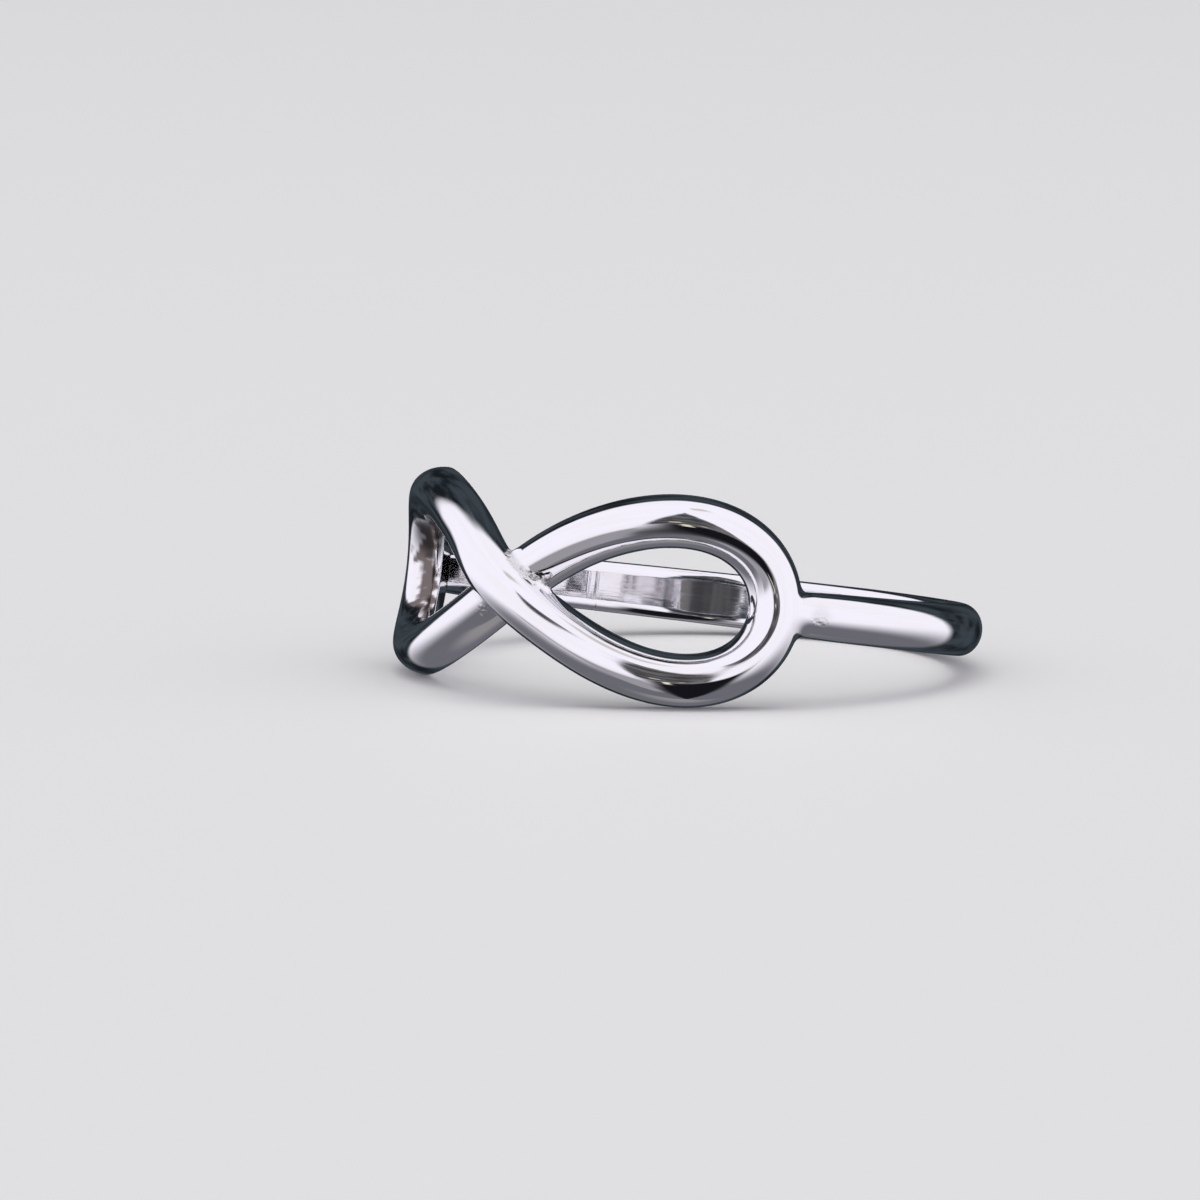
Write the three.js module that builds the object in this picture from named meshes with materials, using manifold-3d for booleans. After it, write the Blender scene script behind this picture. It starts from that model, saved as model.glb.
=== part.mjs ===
// Infinity ring of polished silver, lying on its side on the plane z = 0, in millimetres with +Z up.
// A D-shaped wire bent into a figure of eight lies on the front of the finger, with its crossing
// towards -Y, and a tapered band closes the ring behind it. The crossing and the joints of the
// band are soldered, so the whole ring is one solid.
import * as THREE from 'three';
import { mergeVertices } from 'three/addons/utils/BufferGeometryUtils.js';
import Module from 'manifold-3d';

const wasm = await Module();
wasm.setup();

// Finger: inner diameter of the ring
const FINGER_BORE = 17.3;

// Wire of the figure of eight: flat inside, domed outside
const WIRE_WIDTH = 1.78;
const WIRE_THICKNESS = 1.33;
const WIRE_CORNER = 0.22;

// Figure of eight along the middle of the wire's inner face: its half length round the finger and
// half height along it, and two shares that make the loops blunter than plain sine waves
const FIGURE_HALF_LENGTH = 8.82;
const FIGURE_HALF_HEIGHT = 2.61;
const END_FULLNESS = -0.174;
const SIDE_FULLNESS = -0.205;

// Crossing: how far the upper strand sinks into the lower one, and how fast its lift fades
const CROSSING_SINK = 0.48;
const CROSSING_RISE_LENGTH = 2.13;

// Band behind the loops, widest at the back of the finger
const BAND_BACK_WIDTH = 1.91;
const BAND_END_WIDTH = 1.55;
const BAND_TAPER_POWER = 1.2;
const BAND_THICKNESS = 1.03;
const BAND_CORNER = 0.25;

// Solder bead in each corner where the lower strand comes out from under the upper one
const BEAD_LENGTH = 1.5;
const BEAD_WIDTH = 0.56;
const BEAD_HEIGHT = 0.6;

// Fineness of the facets
const DOME_STEPS = 10;
const WIRE_STEPS = 112;
const BAND_STEPS = 61;
const BEAD_SIDES = 12;
const PEAK_SAMPLES = 400;
const SETTLE_STEPS = 40;

const BORE_RADIUS = FINGER_BORE / 2;
const LOOP_ANGLE = FIGURE_HALF_LENGTH / BORE_RADIUS;
const CROSSING_LIFT = WIRE_THICKNESS - CROSSING_SINK;

const SILVER = new THREE.MeshStandardMaterial({ color: 0xd9d8de, roughness: 0.12, metalness: 1 });

// D-shaped section as [side, up] pairs, anticlockwise: a flat inner face on up = 0 with rounded
// corners, and a half ellipse outside
function sectionOutline(width, thickness, corner) {
  const points = [];
  for (let i = 0; i <= DOME_STEPS; i += 1) {
    const angle = (Math.PI * i) / DOME_STEPS;
    points.push([(width / 2) * Math.cos(angle), corner + (thickness - corner) * Math.sin(angle)]);
  }
  const flat = width / 2 - corner;
  const bevel = corner * Math.SQRT1_2;
  points.push([-flat - bevel, corner - bevel], [-flat, 0], [flat, 0], [flat + bevel, corner - bevel]);
  return points;
}

// Section outline placed at a point of a path, whose up direction points away from the finger
function placeSection(outline, centre, tangent, radial) {
  const side = new THREE.Vector3().crossVectors(tangent, radial).normalize();
  const up = new THREE.Vector3().crossVectors(side, tangent).normalize();
  return outline.map(([across, out]) =>
    centre.clone().addScaledVector(side, across).addScaledVector(up, out));
}

// Skin through a row of equal sections, capped at both ends
function loft(rings) {
  const count = rings[0].length;
  const index = [];
  for (let i = 0; i < rings.length - 1; i += 1) {
    const here = i * count;
    const next = (i + 1) * count;
    for (let j = 0; j < count; j += 1) {
      const k = (j + 1) % count;
      index.push(here + j, next + j, here + k, next + j, next + k, here + k);
    }
  }
  const last = (rings.length - 1) * count;
  for (let j = 1; j < count - 1; j += 1) {
    index.push(0, j, j + 1, last, last + j + 1, last + j);
  }
  const geometry = new THREE.BufferGeometry().setFromPoints(rings.flat());
  geometry.setIndex(index);
  return geometry;
}

// Point on the finger: angle round it from the crossing, height along it, distance above its skin
function onFinger(angle, height, lift) {
  const radius = BORE_RADIUS + lift;
  return new THREE.Vector3(radius * Math.sin(angle), -radius * Math.cos(angle), height);
}

function awayFromFinger(point) {
  return new THREE.Vector3(point.x, point.y, 0).normalize();
}

// Figure of eight: turn 0 is the upper strand at the crossing, turn PI the lower one
const HEIGHT_PEAK = peakOf((turn) => Math.sin(2 * turn) + SIDE_FULLNESS * Math.sin(4 * turn));

function peakOf(wave) {
  const samples = Array.from({ length: PEAK_SAMPLES }, (_, i) => wave((i / PEAK_SAMPLES) * Math.PI));
  return Math.max(...samples);
}

function eightAt(turn, lift) {
  const along = (Math.sin(turn) + END_FULLNESS * Math.sin(3 * turn)) / (1 - END_FULLNESS);
  const across = (Math.sin(2 * turn) + SIDE_FULLNESS * Math.sin(4 * turn)) / HEIGHT_PEAK;
  return onFinger(LOOP_ANGLE * along, -FIGURE_HALF_HEIGHT * across, lift);
}

function slopeOf(path, turn) {
  const step = 0.001;
  return path(turn + step).sub(path(turn - step)).divideScalar(2 * step);
}

const TURN_PER_LENGTH = 1 / slopeOf((turn) => eightAt(turn, CROSSING_LIFT), 0).length();

function wirePoint(turn) {
  const fromCrossing = Math.abs(Math.atan2(Math.sin(turn), Math.cos(turn)));
  const share = fromCrossing / (CROSSING_RISE_LENGTH * TURN_PER_LENGTH);
  return eightAt(turn, CROSSING_LIFT * Math.exp(-share * share));
}

// Sections round the whole figure of eight, from the left loop's end along the upper strand
function wireSections() {
  const outline = sectionOutline(WIRE_WIDTH, WIRE_THICKNESS, WIRE_CORNER);
  const sections = [];
  for (let i = 0; i < WIRE_STEPS; i += 1) {
    const turn = (2 * Math.PI * i) / WIRE_STEPS - Math.PI / 2;
    const centre = wirePoint(turn);
    sections.push(placeSection(outline, centre, slopeOf(wirePoint, turn), awayFromFinger(centre)));
  }
  return sections;
}

// Upper and lower strand, each from loop's end to loop's end, so that neither crosses itself
function makeStrands() {
  const sections = wireSections();
  const half = WIRE_STEPS / 2;
  return [loft(sections.slice(0, half + 1)), loft([...sections.slice(half), sections[0]])];
}

// Band from the middle of the right loop's end round the back to the middle of the left one's
function makeBand() {
  const rings = [];
  const halfSweep = Math.PI - LOOP_ANGLE;
  for (let i = 0; i <= BAND_STEPS; i += 1) {
    const share = (2 * i) / BAND_STEPS - 1;
    const taper = Math.abs(share) ** BAND_TAPER_POWER;
    const width = THREE.MathUtils.lerp(BAND_BACK_WIDTH, BAND_END_WIDTH, taper);
    const angle = Math.PI + share * halfSweep;
    const centre = onFinger(angle, 0, 0);
    const tangent = new THREE.Vector3(Math.cos(angle), Math.sin(angle), 0);
    const outline = sectionOutline(width, BAND_THICKNESS, BAND_CORNER);
    rings.push(placeSection(outline, centre, tangent, awayFromFinger(centre)));
  }
  return loft(rings);
}

// Bead of solder on the lower strand, lying along the flank of the upper one.
// side is 1 for the corner towards the right loop and -1 for the left one.
function makeBead(side) {
  const upper = slopeOf(wirePoint, 0).normalize();
  const lowerPath = slopeOf(wirePoint, Math.PI);
  const lower = lowerPath.clone().normalize();
  const spread = upper.angleTo(lower);
  const fromMiddle = WIRE_WIDTH / 2 / Math.sin(spread);
  const turn = Math.PI - (side * fromMiddle) / lowerPath.length();
  const out = awayFromFinger(wirePoint(turn));
  const centre = wirePoint(turn).addScaledVector(out, WIRE_THICKNESS - BEAD_HEIGHT / 4);
  const bead = new THREE.SphereGeometry(0.5, BEAD_SIDES, BEAD_SIDES / 2);
  bead.scale(BEAD_LENGTH, BEAD_WIDTH, BEAD_HEIGHT);
  const across = new THREE.Vector3().crossVectors(out, upper).normalize();
  const along = new THREE.Vector3().crossVectors(across, out);
  bead.applyMatrix4(new THREE.Matrix4().makeBasis(along, across, out).setPosition(centre));
  return bead;
}

function toSolid(geometry) {
  const bare = geometry.clone();
  bare.deleteAttribute('normal');
  bare.deleteAttribute('uv');
  const merged = mergeVertices(bare, 1e-5);
  return new wasm.Manifold(new wasm.Mesh({
    numProp: 3,
    vertProperties: new Float32Array(merged.attributes.position.array),
    triVerts: new Uint32Array(merged.index.array),
  }));
}

function toGeometry(solid) {
  const mesh = solid.getMesh();
  const geometry = new THREE.BufferGeometry();
  geometry.setAttribute('position', new THREE.BufferAttribute(mesh.vertProperties, 3));
  geometry.setIndex(new THREE.BufferAttribute(mesh.triVerts, 1));
  geometry.computeVertexNormals();
  return geometry;
}

function solder(pieces) {
  const [first, ...others] = pieces.map(toSolid);
  return toGeometry(others.reduce((whole, piece) => whole.add(piece), first));
}

// Lowest height of the front half less that of the back half, once the front is tilted up
function restGap(points, tilt) {
  let front = Infinity;
  let back = Infinity;
  for (const point of points) {
    const height = point.z * Math.cos(tilt) - point.y * Math.sin(tilt);
    if (point.y < 0) front = Math.min(front, height);
    else back = Math.min(back, height);
  }
  return front - back;
}

// Tilt at which the two loops and the back of the band stand on one plane
function restingTilt(points) {
  let low = 0;
  let high = Math.PI / 4;
  for (let i = 0; i < SETTLE_STEPS; i += 1) {
    const middle = (low + high) / 2;
    if (restGap(points, middle) < 0) low = middle;
    else high = middle;
  }
  return (low + high) / 2;
}

function pointsOf(geometry) {
  const position = geometry.attributes.position;
  return Array.from({ length: position.count }, (_, i) =>
    new THREE.Vector3().fromBufferAttribute(position, i));
}

const ring = new THREE.Mesh(solder([...makeStrands(), makeBand(), makeBead(1), makeBead(-1)]), SILVER);
ring.name = 'infinity_ring';

// The ring lies on its loops and the back of its band, with the origin under the middle of its box
const ringPoints = pointsOf(ring.geometry);
ring.rotation.x = -restingTilt(ringPoints);
const lying = new THREE.Box3().setFromPoints(
  ringPoints.map((point) => point.applyEuler(ring.rotation)));
const middle = lying.getCenter(new THREE.Vector3());
ring.position.set(-middle.x, -middle.y, -lying.min.z);

const part = new THREE.Group();
part.add(ring);

export default part;
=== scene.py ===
"""Infinity ring of polished silver, lying on its side on a pale studio floor. Metres, +Z up."""
import math

import bmesh
import bpy
import numpy as np
from mathutils import Matrix, Vector, noise
from mathutils.bvhtree import BVHTree
from mathutils.geometry import barycentric_transform


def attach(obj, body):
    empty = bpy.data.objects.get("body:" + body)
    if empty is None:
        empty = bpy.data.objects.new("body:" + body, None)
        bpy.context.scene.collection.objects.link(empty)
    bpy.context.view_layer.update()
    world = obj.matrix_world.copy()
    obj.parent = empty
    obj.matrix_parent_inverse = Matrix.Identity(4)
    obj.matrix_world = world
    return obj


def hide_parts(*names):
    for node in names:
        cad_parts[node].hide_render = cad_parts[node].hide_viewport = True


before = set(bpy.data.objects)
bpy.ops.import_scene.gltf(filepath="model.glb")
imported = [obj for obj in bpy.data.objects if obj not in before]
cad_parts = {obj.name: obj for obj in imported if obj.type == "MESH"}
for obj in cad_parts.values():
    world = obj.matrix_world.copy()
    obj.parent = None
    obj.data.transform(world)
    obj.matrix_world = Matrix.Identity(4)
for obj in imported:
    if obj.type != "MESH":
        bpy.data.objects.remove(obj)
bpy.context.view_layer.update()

MM = 0.001

# Ring, in millimetres, with the finger's axis along Z and the crossing towards -Y
FINGER_BORE = 17.3
WIRE_WIDTH = 1.78
WIRE_THICKNESS = 1.33
WIRE_CORNER = 0.22
FIGURE_HALF_LENGTH = 8.82
FIGURE_HALF_HEIGHT = 2.61
END_FULLNESS = -0.174
SIDE_FULLNESS = -0.205
CROSSING_SINK = 0.48
CROSSING_RISE_LENGTH = 2.13
BAND_BACK_WIDTH = 1.91
BAND_END_WIDTH = 1.55
BAND_TAPER_POWER = 1.2
BAND_THICKNESS = 1.03
BAND_CORNER = 0.25

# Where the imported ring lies: its tilt about X and the place of the middle of its axis, which is
# 0.01 mm higher than in the CAD, because these smooth domes reach lower than its facets
RESTING_TILT = math.radians(9.21326)
AXIS_PLACE = np.array([0.0, 0.572043, 2.375514])

# Crossing: widths over which the strands flow together in its right and left corners, its middle,
# and the distances from there between which this fades out
CROSSING_FLOW_RIGHT = 0.16
CROSSING_FLOW_LEFT = 0.10
CROSSING_MIDDLE = np.array([0.0, -9.8, 0.0])
CROSSING_REACH = (2.2, 3.0)
# Joints of the band: width over which it flows into the wire, lifts above the finger over which
# that sets in, how far the band's skin lies below the wire's, how much more of it is filed away
# at the loops' ends, and the angles beyond them between which the filing fades out
BAND_FLOW = 0.36
BAND_FLOW_LIFT = (0.05, 0.6)
BAND_STEP = 0.002
BAND_FILED = 0.030
BAND_FILED_ANGLES = (0.10, 0.26)

# Solder: lumps as (degrees from the crossing, height, radius from the finger's axis, own radius),
# the width over which they flow together, and how many of their radii away they are looked at
LUMPS = [
    (3.0, 0.96, 9.78, 0.15),
    (3.9, 0.76, 9.84, 0.10),
    (5.2, 0.55, 9.86, 0.11),
    (6.5, 0.36, 9.82, 0.09),
    (7.7, 0.18, 9.76, 0.12),
    (9.0, 0.01, 9.66, 0.13),
    (10.3, -0.12, 9.52, 0.15),
]
LUMP_FLOW = 0.15
LUMP_REACH = 3
# Rough spots as (degrees, height, radius from the axis, reach, depth, width of a grain), the share
# of the reach that is rough throughout, how many depths they are sunk and how rough they look
ROUGH_SPOTS = [
    (66.9, 0.02, 9.65, 0.52, 0.014, 0.09),
    (-3.9, -1.08, 9.72, 0.36, 0.020, 0.10),
]
SPOT_CORE = 0.3
SPOT_SINK = 0.3
SPOT_ROUGHNESS = 0.6
# Grains of the solder bead: depth, width, swelling, share and fineness of the smaller ones, how
# near both strands they lie, how far above the finger they start, and their share at the left
BEAD_GRAIN_DEPTH = 0.022
BEAD_GRAIN_WIDTH = 0.10
BEAD_SWELL = 0.25
SMALL_GRAIN_SHARE = 0.6
SMALL_GRAIN_FINENESS = 2.3
BEAD_REACH = (0.10, 0.27)
BEAD_LEAST_LIFT = WIRE_THICKNESS / 3
BEAD_LEFT_SHARE = 0.3
# Painted reflection on the left loop's end: dark brown patches that stand in for the reflection of
# warm-coloured things. Angles from the crossing between which it fades out and where it stops, how
# squarely the surface faces the hole, size of a patch and how much longer it is along the finger,
# share and fineness of smaller patches, noise between clean and brown, and the lift above the finger
# and the heights where there is more of it
BROWN_REFLECTION_ANGLES = (-0.86, -0.74)
BROWN_REFLECTION_END = 0.1
BROWN_REFLECTION_FACING = (0.1, 0.5)
BROWN_REFLECTION_PATCH = 0.62
BROWN_REFLECTION_STRETCH = 0.8
SMALL_PATCH_SHARE = 0.6
SMALL_PATCH_FINENESS = 2.7
BROWN_REFLECTION_EDGE = (-0.12, 0.24)
BROWN_REFLECTION_MORE = 0.32
BROWN_REFLECTION_LIFT = 0.60
BROWN_REFLECTION_LIFT_FADE = 1.1
BROWN_REFLECTION_HIGH = (0.2, 1.4)
BROWN_REFLECTION_MORE_HIGH = 0.3
# Solder seam across the band: its middle, half width, the width and depth of its two edges, and
# how far from its middle the band has more steps
SEAM_ANGLE = math.radians(-114.3 + 360)
SEAM_HALF_WIDTH = 0.15
SEAM_EDGE_WIDTH = 0.05
SEAM_DEPTH = 0.006
SEAM_FINE_REACH = 0.4

# Fineness of the visual mesh: steps of the sections and sweeps, steps by which the strands that
# are looked up go on beyond the loops' ends, longest edge near a joint, rounds of splitting, the
# distances from both surfaces of a joint within which edges are split, and the samples and step
# for the curve's peak and slope
DOME_STEPS = 30
CORNER_STEPS = 5
FLAT_STEPS = 8
STRAND_STEPS = 210
BAND_STEPS = 230
SEAM_STEPS = 40
EXTRA_STEPS = 6
FINE_EDGE = 0.05
FINE_ROUNDS = 2
FINE_AT_CROSSING = 0.4
FINE_AT_BAND = 0.35
PEAK_SAMPLES = 4001
SLOPE_STEP = 0.001
# Moving points to the soldered surface: most rounds, distance that is near enough, least slope to
# follow and longest step
FLOW_ROUNDS = 5
NEAR_ENOUGH = 1e-5
LEAST_SLOPE = 0.2
LONGEST_STEP = 0.1
# Distance from the crossing that is given wherever it isn't near
FAR = 9.0
# Noise of the polish: radius of its hoop round the section, and how far off the band's lies
GRAIN_RADIUS = 0.85
GRAIN_ASIDE = 40.0
# Roughness times this is the share of the mesh's own normals
OWN_NORMALS = 4

BORE_RADIUS = FINGER_BORE / 2
LOOP_ANGLE = FIGURE_HALF_LENGTH / BORE_RADIUS
CROSSING_LIFT = WIRE_THICKNESS - CROSSING_SINK
RESTING_TURN = np.array(Matrix.Rotation(-RESTING_TILT, 3, "X"))


def unit(vectors):
    return vectors / np.linalg.norm(vectors, axis=-1, keepdims=True)


def section_outline(width, thickness, corner):
    """D-shaped section as (side, up) pairs, anticlockwise, with round inner corners."""
    dome = np.linspace(0, math.pi, DOME_STEPS + 1)
    turn = np.linspace(0, math.pi / 2, CORNER_STEPS + 1)[1:]
    flat = width / 2 - corner
    parts = [
        np.stack([width / 2 * np.cos(dome), corner + (thickness - corner) * np.sin(dome)], 1),
        np.stack([-flat - corner * np.cos(turn), corner - corner * np.sin(turn)], 1),
        np.stack([np.linspace(-flat, flat, FLAT_STEPS + 1)[1:], np.zeros(FLAT_STEPS)], 1),
        np.stack([flat + corner * np.sin(turn), corner - corner * np.cos(turn)], 1)[:-1],
    ]
    return np.concatenate(parts)


def on_finger(angle, height, lift):
    radius = BORE_RADIUS + lift
    height = height + 0 * angle
    return np.stack([radius * np.sin(angle), -radius * np.cos(angle), height], -1)


def height_wave(turn):
    return np.sin(2 * turn) + SIDE_FULLNESS * np.sin(4 * turn)


HEIGHT_PEAK = height_wave(np.linspace(0, math.pi, PEAK_SAMPLES)).max()


def eight_at(turn, lift):
    along = (np.sin(turn) + END_FULLNESS * np.sin(3 * turn)) / (1 - END_FULLNESS)
    height = -FIGURE_HALF_HEIGHT * height_wave(turn) / HEIGHT_PEAK
    return on_finger(LOOP_ANGLE * along, height, lift)


def slope_of(path, turn):
    return (path(turn + SLOPE_STEP) - path(turn - SLOPE_STEP)) / (2 * SLOPE_STEP)


TURN_PER_LENGTH = 1 / np.linalg.norm(slope_of(lambda t: eight_at(t, CROSSING_LIFT), 0.0))


def wire_point(turn):
    from_crossing = np.abs(np.arctan2(np.sin(turn), np.cos(turn)))
    share = from_crossing / (CROSSING_RISE_LENGTH * TURN_PER_LENGTH)
    return eight_at(turn, CROSSING_LIFT * np.exp(-share * share))


def sweep(centres, tangents, outlines):
    """Rows of points: each outline is placed square to its tangent, up away from the finger."""
    radial = unit(centres * np.array([1.0, 1.0, 0.0]))
    side = unit(np.cross(tangents, radial))
    up = unit(np.cross(side, tangents))
    return (
        centres[:, None]
        + outlines[:, :, 0:1] * side[:, None]
        + outlines[:, :, 1:2] * up[:, None]
    )


def strand_rows(start, extra=0):
    """One strand from loop's end to loop's end, and the given number of steps beyond both."""
    beyond = extra * math.pi / STRAND_STEPS
    turn = np.linspace(start - beyond, start + math.pi + beyond, STRAND_STEPS + 1 + 2 * extra)
    outline = section_outline(WIRE_WIDTH, WIRE_THICKNESS, WIRE_CORNER)
    outlines = np.repeat(outline[None], len(turn), 0)
    return sweep(wire_point(turn), slope_of(wire_point, turn), outlines)


def band_rows():
    half_sweep = math.pi - LOOP_ANGLE
    near_seam = SEAM_ANGLE + np.linspace(-SEAM_FINE_REACH, SEAM_FINE_REACH, SEAM_STEPS) / BORE_RADIUS
    share = np.linspace(-1, 1, BAND_STEPS + 1)
    share = np.sort(np.concatenate([share, (near_seam - math.pi) / half_sweep]))
    taper = np.abs(share) ** BAND_TAPER_POWER
    widths = BAND_BACK_WIDTH + (BAND_END_WIDTH - BAND_BACK_WIDTH) * taper
    angle = math.pi + share * half_sweep
    outlines = np.stack([section_outline(w, BAND_THICKNESS, BAND_CORNER) for w in widths])
    from_seam = np.abs((angle - SEAM_ANGLE) * BORE_RADIUS)
    edge = (from_seam - SEAM_HALF_WIDTH) / SEAM_EDGE_WIDTH
    groove = (SEAM_DEPTH * np.exp(-edge * edge))[:, None]
    middle = BAND_THICKNESS / 2
    outlines[:, :, 0] *= 1 - groove / (BAND_BACK_WIDTH / 2)
    outlines[:, :, 1] = middle + (outlines[:, :, 1] - middle) * (1 - groove / middle)
    tangents = np.stack([np.cos(angle), np.sin(angle), 0 * angle], -1)
    return sweep(on_finger(angle, 0.0, 0.0), tangents, outlines)


def loft(name, rows, closed=False):
    """Object from rows of points, skinned, and either closed on itself or capped."""
    length, count = rows.shape[:2]
    faces = []
    for i in range(length if closed else length - 1):
        here = i * count
        there = (i + 1) % length * count
        for j in range(count):
            k = (j + 1) % count
            faces.append((here + j, there + j, there + k, here + k))
    if not closed:
        last = (length - 1) * count
        faces.append(tuple(range(count)))
        faces.append(tuple(last + j for j in reversed(range(count))))
    mesh = bpy.data.meshes.new(name)
    mesh.from_pydata(rows.reshape(-1, 3).tolist(), [], faces)
    mesh.update()
    piece = bpy.data.objects.new(name, mesh)
    bpy.context.scene.collection.objects.link(piece)
    return piece


def join_solids(wire, band):
    """Union of the wire with the band and, at the crossing, with itself. The wire keeps it."""
    union = wire.modifiers.new("union", "BOOLEAN")
    union.operation = "UNION"
    union.solver = "EXACT"
    union.use_self = True
    union.object = band
    bpy.context.view_layer.update()
    graph = bpy.context.evaluated_depsgraph_get()
    mesh = bpy.data.meshes.new_from_object(wire.evaluated_get(graph))
    wire.modifiers.clear()
    wire.data = mesh
    bpy.data.objects.remove(band)


def run_of(rows, extra=0):
    """Distance along the middle of the rows, from the row that follows the extra ones."""
    steps = np.linalg.norm(np.diff(rows.mean(1), axis=0), axis=1)
    run = np.concatenate([[0.0], np.cumsum(steps)])
    return run - run[extra]


def grain_of(rows, run, loop_length, aside):
    """Per point: its place on a hoop as long as the wire, and then on one round the section.

    The four values are a place for the polish's noise, which has no seam on either hoop.
    """
    hoop = loop_length / (2 * math.pi)
    turn = np.arange(rows.shape[1]) * 2 * math.pi / rows.shape[1]
    along, turn = np.meshgrid(run / hoop, turn, indexing="ij")
    grain = [aside + hoop * np.cos(along), hoop * np.sin(along)]
    grain += [GRAIN_RADIUS * np.cos(turn), GRAIN_RADIUS * np.sin(turn)]
    return np.stack(grain, -1).reshape(-1, 4)


class Skin:
    """Surface of one capped loft: signed distance, smooth normal and grain at its nearest point."""

    def __init__(self, rows, run, loop_length, aside=0.0):
        piece = loft("skin", rows)
        mesh = piece.data
        mesh.calc_loop_triangles()
        self.corners = [tuple(t.vertices) for t in mesh.loop_triangles]
        self.points = [v.co.copy() for v in mesh.vertices]
        self.normals = [v.normal.copy() for v in mesh.vertices]
        grain = grain_of(rows, run, loop_length, aside)
        self.grain = [Vector(g) for g in grain[:, :3]]
        self.grain_side = [Vector((g, 0, 0)) for g in grain[:, 3]]
        self.tree = BVHTree.FromPolygons(self.points, self.corners)
        bpy.data.objects.remove(piece)

    def look_up(self, point):
        place, _, index, distance = self.tree.find_nearest(point)
        corners = self.corners[index]
        triangle = [self.points[c] for c in corners]
        normal = barycentric_transform(place, *triangle, *(self.normals[c] for c in corners))
        grain = barycentric_transform(place, *triangle, *(self.grain[c] for c in corners))
        side = barycentric_transform(place, *triangle, *(self.grain_side[c] for c in corners))
        inside = distance < WIRE_WIDTH and (point - place).dot(normal) < 0
        return (-distance if inside else distance), normal.normalized(), (*grain, side.x)


def smooth_step(low, high, value):
    share = min(max((value - low) / (high - low), 0.0), 1.0)
    return share * share * (3 - 2 * share)


def flow_together(first, second, width):
    """Smooth union of two (distance, slope) pairs over the given width."""
    if second[0] < first[0]:
        first, second = second, first
    share = max(width - (second[0] - first[0]), 0.0) / width if width > 0 else 0.0
    slope = first[1] * (1 - share / 2) + second[1] * (share / 2)
    return first[0] - share * share * width / 4, slope


def axis_point(degrees, height, radius):
    angle = math.radians(degrees)
    return Vector((radius * math.sin(angle), -radius * math.cos(angle), height))


def band_step(point):
    """How far the band's skin lies below the wire's. It is filed away at the loops' ends."""
    beyond = abs(math.atan2(point.x, -point.y)) - LOOP_ANGLE
    return BAND_STEP + BAND_FILED * (1 - smooth_step(*BAND_FILED_ANGLES, beyond))


class Joints:
    """Soldered surface of the ring: distance and slope at a point, and where its solder is."""

    def __init__(self, upper, lower, band):
        self.upper = upper
        self.lower = lower
        self.band = band
        self.lumps = [(axis_point(*lump[:3]), lump[3]) for lump in LUMPS]
        self.middle = Vector(CROSSING_MIDDLE)

    def read_wire(self, point, near):
        """Wire's distance, slope and grain, and how near the skins of both strands are.

        The strand that a point belongs to is the one on its side of z = 0.
        """
        first, second = self.upper, self.lower
        if point.x * point.z > 0:
            first, second = second, first
        wire = first.look_up(point)
        if near <= 0:
            return wire, FAR
        other = second.look_up(point)
        at_crossing = abs(max(wire[0], other[0]))
        grain = min((wire, other), key=lambda strand: abs(strand[0]))[2]
        width = CROSSING_FLOW_RIGHT if point.x > 0 else CROSSING_FLOW_LEFT
        return (*flow_together(wire, other, near * width), grain), at_crossing

    def add_lumps(self, point, whole):
        for centre, radius in self.lumps:
            if (point - centre).length < LUMP_REACH * radius:
                lump = ((point - centre).length - radius, (point - centre).normalized())
                whole = flow_together(whole, lump, LUMP_FLOW)
        return whole

    def read(self, point):
        """Reading at a point, with how near it is to the crossing and to the band's joints."""
        near = 1 - smooth_step(*CROSSING_REACH, (point - self.middle).length)
        wire, at_crossing = self.read_wire(point, near)
        distance, slope, band_grain = self.band.look_up(point)
        grain = band_grain if abs(distance) < abs(wire[0]) else wire[2]
        lift = math.hypot(point.x, point.y) - BORE_RADIUS
        width = BAND_FLOW * smooth_step(*BAND_FLOW_LIFT, lift)
        whole = flow_together(wire, (distance + band_step(point), slope), width)
        if near > 0:
            whole = self.add_lumps(point, whole)
        at_band = max(abs(distance), abs(wire[0]))
        return {"distance": whole[0], "slope": whole[1], "crossing": at_crossing,
                "band": at_band, "grain": grain}

    def rise(self, point, reading):
        """Height of the solder's grains above the smooth surface, and how rough it is there."""
        rough = 0.0
        if math.hypot(point.x, point.y) > BORE_RADIUS + BEAD_LEAST_LIFT:
            rough = 1 - smooth_step(*BEAD_REACH, reading["crossing"])
            rough *= 1.0 if point.x > 0 else BEAD_LEFT_SHARE
        grains = noise.noise(point / BEAD_GRAIN_WIDTH)
        small = noise.noise(point * (SMALL_GRAIN_FINENESS / BEAD_GRAIN_WIDTH))
        grains += SMALL_GRAIN_SHARE * small
        height = rough * BEAD_GRAIN_DEPTH * (grains + BEAD_SWELL)
        for degrees, up, radius, reach, depth, width in ROUGH_SPOTS:
            off = (point - axis_point(degrees, up, radius)).length
            spot = 1 - smooth_step(SPOT_CORE * reach, reach, off)
            if spot > 0:
                height += spot * depth * (noise.noise(point / width) - SPOT_SINK)
                rough = max(rough, SPOT_ROUGHNESS * spot)
        return height, rough


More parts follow.
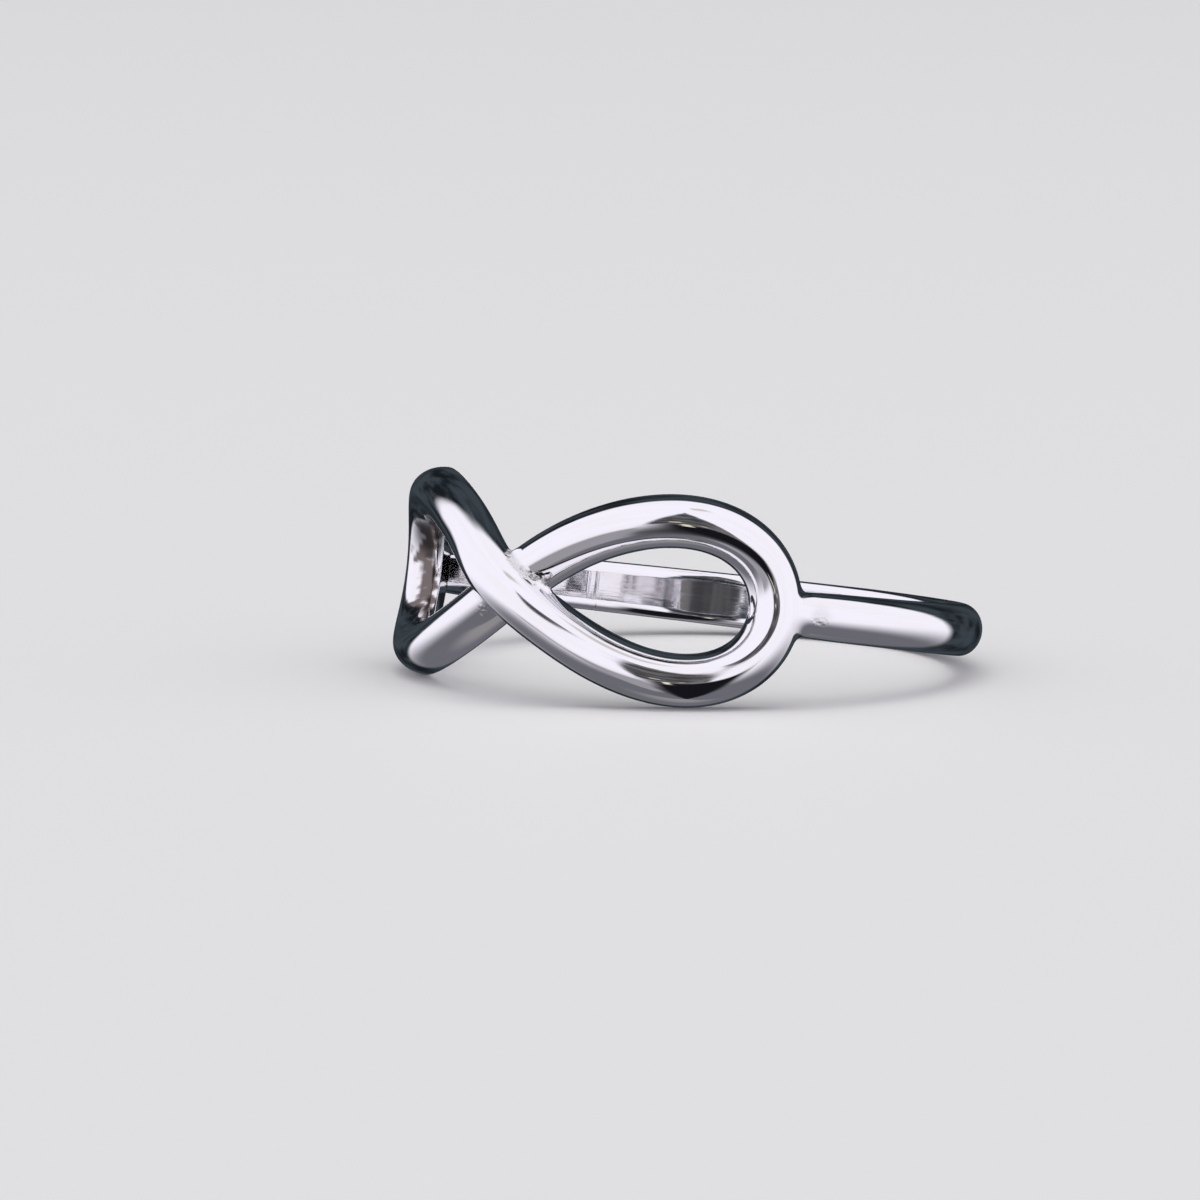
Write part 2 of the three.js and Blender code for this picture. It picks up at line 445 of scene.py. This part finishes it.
def painted_brown_reflection_at(point, slope):
    """Share of the painted brown reflection: patches on the side of the left loop's end that faces
    its hole.
    """
    angle = math.atan2(point.x, -point.y)
    facing = slope.x * math.cos(angle) + slope.y * math.sin(angle)
    share = smooth_step(*BROWN_REFLECTION_FACING, facing) * (1 - smooth_step(*BROWN_REFLECTION_ANGLES, angle))
    if share <= 0 or angle < -LOOP_ANGLE - BROWN_REFLECTION_END:
        return 0.0
    place = Vector((point.x, point.y, point.z * BROWN_REFLECTION_STRETCH))
    small = noise.noise(point * (SMALL_PATCH_FINENESS / BROWN_REFLECTION_PATCH))
    patch = noise.noise(place / BROWN_REFLECTION_PATCH) + SMALL_PATCH_SHARE * small
    lift = math.hypot(point.x, point.y) - BORE_RADIUS
    patch += BROWN_REFLECTION_MORE - BROWN_REFLECTION_LIFT_FADE * abs(lift - BROWN_REFLECTION_LIFT)
    patch += BROWN_REFLECTION_MORE_HIGH * smooth_step(*BROWN_REFLECTION_HIGH, point.z)
    return share * smooth_step(*BROWN_REFLECTION_EDGE, patch)


def wants_detail(point, reading):
    near_spot = any((point - axis_point(*spot[:3])).length < spot[3] for spot in ROUGH_SPOTS)
    return near_spot or reading["crossing"] < FINE_AT_CROSSING or reading["band"] < FINE_AT_BAND


def refine(form, joints):
    """Splits the long edges near the joints and rough spots."""
    for _ in range(FINE_ROUNDS):
        fine = {v for v in form.verts if wants_detail(v.co, joints.read(v.co))}
        edges = [e for e in form.edges
                 if e.verts[0] in fine and e.verts[1] in fine and e.calc_length() > FINE_EDGE]
        bmesh.ops.subdivide_edges(form, edges=edges, cuts=1)
        bmesh.ops.triangulate(form, faces=form.faces[:])


def settle(point, joints):
    """Moves a point to the soldered surface. Returns it with its reading there."""
    reading = joints.read(point)
    for _ in range(FLOW_ROUNDS):
        slope = reading["slope"]
        if abs(reading["distance"]) < NEAR_ENOUGH or slope.length < LEAST_SLOPE:
            break
        step = reading["distance"] / slope.length_squared
        point = point - slope * max(-LONGEST_STEP, min(LONGEST_STEP, step))
        reading = joints.read(point)
    return point, reading


def solder(ring, joints):
    """Gives the joined solids their fillets, solder grains and the values for the polish."""
    form = bmesh.new()
    form.from_mesh(ring.data)
    bmesh.ops.triangulate(form, faces=form.faces[:])
    refine(form, joints)
    grain, rough, painted_brown_reflection, normals = [], [], [], []
    for vert in form.verts:
        place, reading = settle(vert.co.copy(), joints)
        height, roughness = joints.rise(place, reading)
        vert.co = place + reading["slope"].normalized() * height
        grain.append(reading["grain"])
        rough.append(roughness)
        # Painted reflection: share of the brown patches that stand in for reflected warm-coloured
        # things
        painted_brown_reflection.append(painted_brown_reflection_at(place, reading["slope"]))
        normals.append(reading["slope"].normalized())
    form.to_mesh(ring.data)
    form.free()
    grain = np.array(grain)
    store(ring.data, "grain", "FLOAT_VECTOR", "vector", grain[:, :3])
    store(ring.data, "grain_side", "FLOAT", "value", grain[:, 3])
    store(ring.data, "painted_brown_reflection", "FLOAT", "value", np.array(painted_brown_reflection))
    store(ring.data, "rough", "FLOAT", "value", np.array(rough))
    return np.array(normals), np.array(rough)


def shade(ring, normals, rough):
    """Smooth shading by the skin's own normals, and by the mesh's where the solder is rough."""
    mesh = ring.data
    mesh.polygons.foreach_set("use_smooth", [True] * len(mesh.polygons))
    mesh.update()
    own = np.array([v.normal for v in mesh.vertices])
    share = np.clip(rough * OWN_NORMALS, 0, 1)[:, None]
    normals = normals @ RESTING_TURN.T
    mesh.normals_split_custom_set_from_vertices(unit(normals * (1 - share) + own * share))


def store(mesh, name, kind, field, values):
    attribute = mesh.attributes.new(name, kind, "POINT")
    attribute.data.foreach_set(field, values.astype(np.float32).reshape(-1))


def lay_down(points):
    """Millimetres on the finger's axis to metres in the row frame, where the ring lies."""
    return (points @ RESTING_TURN.T + AXIS_PLACE) * MM


def coordinates(mesh):
    points = np.empty(len(mesh.vertices) * 3)
    mesh.vertices.foreach_get("co", points)
    return points.reshape(-1, 3)


def set_coordinates(mesh, points):
    mesh.vertices.foreach_set("co", points.reshape(-1))
    mesh.update()


def make_ring():
    long_upper = strand_rows(-math.pi / 2, EXTRA_STEPS)
    long_lower = strand_rows(math.pi / 2, EXTRA_STEPS)
    whole_band = band_rows()
    run = run_of(long_upper, EXTRA_STEPS)
    half_loop = run[-1 - EXTRA_STEPS]
    joints = Joints(
        Skin(long_upper, run, 2 * half_loop),
        Skin(long_lower, half_loop + run_of(long_lower, EXTRA_STEPS), 2 * half_loop),
        Skin(whole_band, run_of(whole_band), 2 * half_loop, GRAIN_ASIDE),
    )
    wire_rows = [strand_rows(-math.pi / 2)[:-1], strand_rows(math.pi / 2)[:-1]]
    ring = loft("ring_silver", np.concatenate(wire_rows), closed=True)
    join_solids(ring, loft("band", whole_band))
    normals, rough = solder(ring, joints)
    set_coordinates(ring.data, lay_down(coordinates(ring.data)))
    shade(ring, normals, rough)
    return ring


# Photograph's view, in millimetres and in pixels of its 1200-pixel frame
VIEW_AZIMUTH = math.radians(41.823)
VIEW_ELEVATION = math.radians(7.501)
VIEW_ROLL = math.radians(0.357)
VIEW_DISTANCE = 400.0
VIEW_TARGET = np.array([0.0, 0.572043, 3.0])
VIEW_FOCAL_PIXELS = 11897.2
VIEW_TARGET_PIXEL = (696.06, 580.554)
FRAME_PIXELS = 1200
SENSOR = 36.0
CLIP_METRES = (0.01, 100)


def add_camera():
    cos_e = math.cos(VIEW_ELEVATION)
    out = Vector((math.sin(VIEW_AZIMUTH) * cos_e, -math.cos(VIEW_AZIMUTH) * cos_e,
                  math.sin(VIEW_ELEVATION)))
    place = Vector(VIEW_TARGET) + VIEW_DISTANCE * out
    right = (-out).cross(Vector((0, 0, 1))).normalized()
    down = (-out).cross(right).normalized()
    rows = Matrix((right, down, -out))
    yaw = math.atan((VIEW_TARGET_PIXEL[0] - FRAME_PIXELS / 2) / VIEW_FOCAL_PIXELS)
    pitch = math.atan((VIEW_TARGET_PIXEL[1] - FRAME_PIXELS / 2) / VIEW_FOCAL_PIXELS)
    roll = Matrix.Rotation(VIEW_ROLL, 3, "Z")
    rows = roll @ Matrix.Rotation(yaw, 3, "Y") @ Matrix.Rotation(-pitch, 3, "X") @ rows
    axes = Matrix((rows[0], -rows[1], -rows[2])).transposed()
    data = bpy.data.cameras.new("camera")
    data.sensor_width = SENSOR
    data.lens = VIEW_FOCAL_PIXELS / FRAME_PIXELS * SENSOR
    data.clip_start, data.clip_end = CLIP_METRES
    camera = bpy.data.objects.new("camera", data)
    camera.matrix_world = Matrix.Translation(place * MM) @ axes.to_4x4()
    bpy.context.scene.collection.objects.link(camera)
    bpy.context.scene.camera = camera


class Nodes:
    """Short spelling for a shader node tree. A socket argument is a number or another socket."""

    def __init__(self, tree):
        self.tree = tree

    def put(self, socket, value):
        if isinstance(value, bpy.types.NodeSocket):
            self.tree.links.new(value, socket)
        else:
            socket.default_value = value

    def node(self, kind, inputs=(), **settings):
        node = self.tree.nodes.new(kind)
        for name, value in settings.items():
            setattr(node, name, value)
        for key, value in dict(inputs).items():
            self.put(node.inputs[key], value)
        return node

    def math(self, operation, *values):
        node = self.node("ShaderNodeMath", operation=operation)
        for socket, value in zip(node.inputs, values):
            self.put(socket, value)
        return node.outputs[0]

    def ramp(self, value, low, high, start=0.0, end=1.0):
        """Smooth step from start at low to end at high."""
        inputs = {"Value": value, "From Min": low, "From Max": high, "To Min": start, "To Max": end}
        node = self.node("ShaderNodeMapRange", inputs, interpolation_type="SMOOTHSTEP")
        return node.outputs["Result"]

    def blend(self, share, first, second):
        """Colour from first at share 0 to second at share 1."""
        node = self.node("ShaderNodeMix", data_type="RGBA")
        self.put(node.inputs[0], share)
        self.put(node.inputs[6], first)
        self.put(node.inputs[7], second)
        return node.outputs[2]

    def band(self, value, middle, half, soft):
        """1 within half of the middle, 0 beyond it, with an edge of the given softness."""
        off = self.math("ABSOLUTE", self.math("SUBTRACT", value, middle))
        return self.ramp(self.math("SUBTRACT", off, half), -soft, soft, 1.0, 0.0)


# Polished silver: its clean colours, the noise of the polishing lines between them, and the
# colours of solder and of the painted brown reflection with their greatest shares
SILVER_CLEAN = (0.93, 0.92, 0.95, 1)
SILVER_WARM = (0.90, 0.885, 0.87, 1)
WARM_EDGE = (0.35, 0.75)
SILVER_DULL = (0.70, 0.68, 0.66, 1)
DULL_SHARE = 0.5
# Dark brown of the painted reflection
SILVER_PAINTED_BROWN_REFLECTION = (0.10, 0.068, 0.054, 1)
BROWN_REFLECTION_SHARE = 0.9
# Noises: waves of the surface and grit of the solder as (scale, detail), polishing lines and
# scratches as (stretch, scale, detail)
WAVES = (700.0, 1.0)
GRIT = (9000.0, 3.0)
LINES = (0.06, 5.0, 4.0)
SCRATCHES = (0.03, 26.0, 2.0)
# Their depths in metres with the strength of the bump, which for grit is the solder's roughness
WAVE_BUMP = (0.000012, 0.6)
LINE_BUMP = (0.0000014, 1.0)
SCRATCH_BUMP = (0.0000014 / 3, 0.7)
GRIT_DEPTH = 0.00001
# Roughness of the polish, least and most, the noise of the scratches between them, and what
# solder and the painted brown reflection add to it
POLISH = (0.035, 0.11)
POLISH_EDGE = (0.35, 0.8)
SOLDER_ROUGHNESS = 0.36
BROWN_REFLECTION_ROUGHNESS = 0.12


def plain_noise(n, place, scale, detail):
    inputs = {"Vector": place, "Scale": scale, "Detail": detail}
    return n.node("ShaderNodeTexNoise", inputs).outputs["Fac"]


def stretched_noise(n, grain, side, stretch, scale, detail):
    """Noise along the piece's own grain, drawn out along the piece."""
    longer = n.node("ShaderNodeVectorMath", operation="MULTIPLY")
    n.put(longer.inputs[0], grain)
    n.put(longer.inputs[1], (stretch, stretch, 1.0))
    inputs = {"Vector": longer.outputs[0], "W": side, "Scale": scale, "Detail": detail}
    return n.node("ShaderNodeTexNoise", inputs, noise_dimensions="4D").outputs["Fac"]


def bump(n, height, depth, strength, normal=None):
    inputs = {"Height": height, "Distance": depth, "Strength": strength}
    if normal is not None:
        inputs["Normal"] = normal
    return n.node("ShaderNodeBump", inputs).outputs["Normal"]


def silver_material():
    material = bpy.data.materials.new("silver")
    material.use_nodes = True
    n = Nodes(material.node_tree)
    grain = n.node("ShaderNodeAttribute", attribute_name="grain").outputs["Vector"]
    side = n.node("ShaderNodeAttribute", attribute_name="grain_side").outputs["Fac"]
    rough = n.node("ShaderNodeAttribute", attribute_name="rough").outputs["Fac"]
    painted_brown_reflection = n.node("ShaderNodeAttribute", attribute_name="painted_brown_reflection").outputs["Fac"]
    place = n.node("ShaderNodeTexCoord").outputs["Object"]
    waves = plain_noise(n, place, *WAVES)
    lines = stretched_noise(n, grain, side, *LINES)
    scratches = stretched_noise(n, grain, side, *SCRATCHES)
    grit = plain_noise(n, place, *GRIT)
    normal = bump(n, waves, *WAVE_BUMP)
    normal = bump(n, lines, *LINE_BUMP, normal)
    normal = bump(n, scratches, *SCRATCH_BUMP, normal)
    normal = bump(n, grit, GRIT_DEPTH, rough, normal)
    clean = n.blend(n.ramp(lines, *WARM_EDGE), SILVER_CLEAN, SILVER_WARM)
    colour = n.blend(n.math("MULTIPLY", rough, DULL_SHARE), clean, SILVER_DULL)
    # Painted reflection: dark brown laid over the silver where the brown patches are
    colour = n.blend(n.math("MULTIPLY", painted_brown_reflection, BROWN_REFLECTION_SHARE), colour, SILVER_PAINTED_BROWN_REFLECTION)
    polish = n.ramp(scratches, *POLISH_EDGE, *POLISH)
    roughness = n.math("ADD", polish, n.math("MULTIPLY", rough, SOLDER_ROUGHNESS))
    roughness = n.math("ADD", roughness, n.math("MULTIPLY", painted_brown_reflection, BROWN_REFLECTION_ROUGHNESS))
    shader = material.node_tree.nodes["Principled BSDF"].inputs
    shader["Metallic"].default_value = 1.0
    n.put(shader["Base Color"], colour)
    n.put(shader["Roughness"], roughness)
    n.put(shader["Normal"], normal)
    return material


def plain_material(name, colour, roughness):
    material = bpy.data.materials.new(name)
    material.use_nodes = True
    shader = material.node_tree.nodes["Principled BSDF"]
    shader.inputs["Base Color"].default_value = (*colour, 1)
    shader.inputs["Roughness"].default_value = roughness
    return material


# Floor and the light above it, in metres and watts
FLOOR_HALF = 4.0
FLOOR_COLOUR = (0.80, 0.80, 0.77)
FLOOR_ROUGHNESS = 0.6
CEILING_HEIGHT = 0.7
CEILING_SIZE = 0.6
CEILING_ENERGY = 1.6


def add_floor():
    """Pale floor, which the silver doesn't mirror."""
    corners = [(x * FLOOR_HALF, y * FLOOR_HALF, 0) for x, y in ((-1, -1), (1, -1), (1, 1), (-1, 1))]
    mesh = bpy.data.meshes.new("floor")
    mesh.from_pydata(corners, [], [(0, 1, 2, 3)])
    floor = bpy.data.objects.new("floor", mesh)
    bpy.context.scene.collection.objects.link(floor)
    mesh.materials.append(plain_material("floor", FLOOR_COLOUR, FLOOR_ROUGHNESS))
    floor.visible_glossy = False


def add_ceiling_light():
    """Soft light from above for the pale floor alone."""
    data = bpy.data.lights.new("ceiling", "AREA")
    data.size = CEILING_SIZE
    data.energy = CEILING_ENERGY
    light = bpy.data.objects.new("ceiling", data)
    light.location = (0, 0, CEILING_HEIGHT)
    light.visible_camera = False
    light.visible_glossy = False
    bpy.context.scene.collection.objects.link(light)


# Light tent, by azimuth in degrees from -Y towards +X and by elevation: white walls with a dark
# opening behind the ring, a narrow one at the camera, a pale patch in the roof and a grey ground
TENT_WHITE = (0.98, 0.96, 1.05, 1)
TENT_ROOF = (0.62, 0.60, 0.58, 1)
TENT_DARK = (0.010, 0.013, 0.017, 1)
TENT_DIM = (0.045, 0.058, 0.070, 1)
TENT_FRONT = (0.05, 0.05, 0.055, 1)
TENT_FRONT_LIGHT = (0.17, 0.165, 0.17, 1)
TENT_GLINT = (0.85, 0.78, 0.62, 1)
GROUND_NEAR = (0.15, 0.15, 0.175, 1)
GROUND_BELOW = (0.28, 0.275, 0.285, 1)
GROUND_DARK = (0.008, 0.008, 0.011, 1)
GROUND_LIGHT = (0.33, 0.32, 0.35, 1)
PALE_BEYOND_FLOOR = (0.62, 0.62, 0.63, 1)
# Bands, as (middle, half width, softness of the edges), and pairs of elevations between which a
# patch sets in: the ground, its dark wedge, its part below and behind the ring, and the roof
GROUND_FADE = (-6.0, -46.0)
WEDGE_AZIMUTH = (48.0, 25.0, 7.0)
WEDGE_FADE = (-2.0, -10.0)
BELOW_AZIMUTH = (-110.0, 66.0, 8.0)
BELOW_FADE = (-60.0, -80.0)
ROOF_AZIMUTH = (78.0, 26.0, 6.0)
ROOF_ELEVATION = (77.0, 4.0, 3.0)
# Light lane on the ground: elevation of its upper end, half width there, how much it leans and
# narrows per degree below that, softness of its sides, and its band of degrees below that
LANE_TOP = -10.0
LANE_HALF = 20.0
LANE_LEAN = 0.3
LANE_NARROWING = 0.3
LANE_EDGE = 2.0
LANE_BELOW = (28.0, 20.0, 5.0)
# Front opening: its azimuth, half width, how much it narrows with the square of the elevation,
# softness of its sides, elevations at its lower end, and noise of its inside
FRONT_AZIMUTH = 36.5
FRONT_HALF = 15.5
FRONT_NARROWING = 0.0051
FRONT_EDGE = 1.8
FRONT_FADE = (-9.0, -5.0)
FRONT_CLOUD = (5.0, 0.35, 0.65)
# Small bright patches in it: azimuth, elevation, half width and half height, and their softness
GLINTS = [(33.0, -11.0, 1.6, 5.0), (30.0, 3.0, 2.0, 1.2), (40.0, -3.0, 1.2, 1.0)]
GLINT_EDGES = (0.6, 1.0)
# Back opening, a blunt ellipse: its middle, its lean, its halves, the power that makes it blunt,
# the values of its sum of powers from inside to outside, and noise of its inside
BACK_AZIMUTH = -141.5
BACK_ELEVATION = 9.0
BACK_LEAN = 0.1
BACK_HALF_WIDTH = 53.0
BACK_HALF_HEIGHT = 52.0
BACK_POWER = 2.6
BACK_EDGE = (0.85, 1.2)
BACK_CLOUD = (3.5, 0.36, 0.62)
CLOUD_DETAIL = 3.0


class Tent:
    """Colour of the light tent by direction, painted one patch over another."""

    def __init__(self, nodes):
        self.n = nodes
        self.direction = nodes.node("ShaderNodeTexCoord").outputs["Generated"]
        axes = nodes.node("ShaderNodeSeparateXYZ", {"Vector": self.direction}).outputs
        backward = nodes.math("MULTIPLY", axes["Y"], -1.0)
        turn = nodes.math("ARCTAN2", axes["X"], backward)
        self.azimuth = nodes.math("DEGREES", turn)
        self.elevation = nodes.math("DEGREES", nodes.math("ARCSINE", axes["Z"]))

    def cloud(self, scale, low, high):
        """Soft random share from 0 to 1, by direction."""
        return self.n.ramp(plain_noise(self.n, self.direction, scale, CLOUD_DETAIL), low, high)

    def lane(self):
        """Share of the light lane on the ground."""
        n = self.n
        below = n.math("ADD", n.math("MULTIPLY", self.elevation, -1.0), LANE_TOP)
        middle = n.math("SUBTRACT", self.azimuth, n.math("MULTIPLY", below, LANE_LEAN))
        half = n.math("SUBTRACT", LANE_HALF, n.math("MULTIPLY", below, LANE_NARROWING))
        off = n.math("SUBTRACT", n.math("ABSOLUTE", middle), half)
        across = n.ramp(off, -LANE_EDGE, LANE_EDGE, 1.0, 0.0)
        return n.math("MULTIPLY", across, n.band(below, *LANE_BELOW))

    def ground(self, colour):
        n = self.n
        colour = n.blend(n.ramp(self.elevation, *GROUND_FADE), colour, GROUND_NEAR)
        colour = n.blend(self.lane(), colour, GROUND_LIGHT)
        wedge = n.math("MULTIPLY", n.band(self.azimuth, *WEDGE_AZIMUTH),
                       n.ramp(self.elevation, *WEDGE_FADE))
        colour = n.blend(wedge, colour, GROUND_DARK)
        under = n.math("MULTIPLY", n.ramp(self.elevation, *BELOW_FADE),
                       n.band(self.azimuth, *BELOW_AZIMUTH))
        return n.blend(under, colour, GROUND_BELOW)

    def roof(self, colour):
        n = self.n
        patch = n.math("MULTIPLY", n.band(self.azimuth, *ROOF_AZIMUTH),
                       n.band(self.elevation, *ROOF_ELEVATION))
        return n.blend(patch, colour, TENT_ROOF)

    def front(self, colour):
        n = self.n
        square = n.math("POWER", n.math("ABSOLUTE", self.elevation), 2.0)
        off = n.math("ABSOLUTE", n.math("SUBTRACT", self.azimuth, FRONT_AZIMUTH))
        off = n.math("ADD", n.math("SUBTRACT", off, FRONT_HALF),
                     n.math("MULTIPLY", square, FRONT_NARROWING))
        gap = n.math("MULTIPLY", n.ramp(off, -FRONT_EDGE, FRONT_EDGE, 1.0, 0.0),
                     n.ramp(self.elevation, *FRONT_FADE))
        inside = n.blend(self.cloud(*FRONT_CLOUD), TENT_FRONT, TENT_FRONT_LIGHT)
        return self.glints(n.blend(gap, colour, inside))

    def glints(self, colour):
        n = self.n
        for azimuth, elevation, half_wide, half_high in GLINTS:
            across = n.band(self.azimuth, azimuth, half_wide, GLINT_EDGES[0])
            up = n.band(self.elevation, elevation, half_high, GLINT_EDGES[1])
            colour = n.blend(n.math("MULTIPLY", across, up), colour, TENT_GLINT)
        return colour

    def back(self, colour):
        n = self.n
        turn = n.math("WRAP", n.math("SUBTRACT", self.azimuth, BACK_AZIMUTH), 180.0, -180.0)
        across = n.math("DIVIDE", n.math("ABSOLUTE", turn), BACK_HALF_WIDTH)
        middle = n.math("ADD", n.math("MULTIPLY", turn, BACK_LEAN), BACK_ELEVATION)
        above = n.math("ABSOLUTE", n.math("SUBTRACT", self.elevation, middle))
        above = n.math("POWER", n.math("DIVIDE", above, BACK_HALF_HEIGHT), BACK_POWER)
        off = n.math("ADD", n.math("POWER", across, BACK_POWER), above)
        opening = n.ramp(off, *BACK_EDGE, 1.0, 0.0)
        inside = n.blend(self.cloud(*BACK_CLOUD), TENT_DARK, TENT_DIM)
        return n.blend(opening, colour, inside)


def add_world():
    world = bpy.data.worlds.new("studio")
    world.use_nodes = True
    nodes = Nodes(world.node_tree)
    tent = Tent(nodes)
    colour = tent.back(tent.front(tent.roof(tent.ground(TENT_WHITE))))
    seen = nodes.node("ShaderNodeLightPath").outputs["Is Camera Ray"]
    colour = nodes.blend(seen, colour, PALE_BEYOND_FLOOR)
    world.node_tree.links.new(colour, world.node_tree.nodes["Background"].inputs["Color"])
    bpy.context.scene.world = world


add_camera()
ring = make_ring()
ring.data.materials.clear()
ring.data.materials.append(silver_material())
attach(ring, "root")
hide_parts("infinity_ring")
add_floor()
add_ceiling_light()
add_world()
bpy.context.scene.view_settings.view_transform = "Standard"
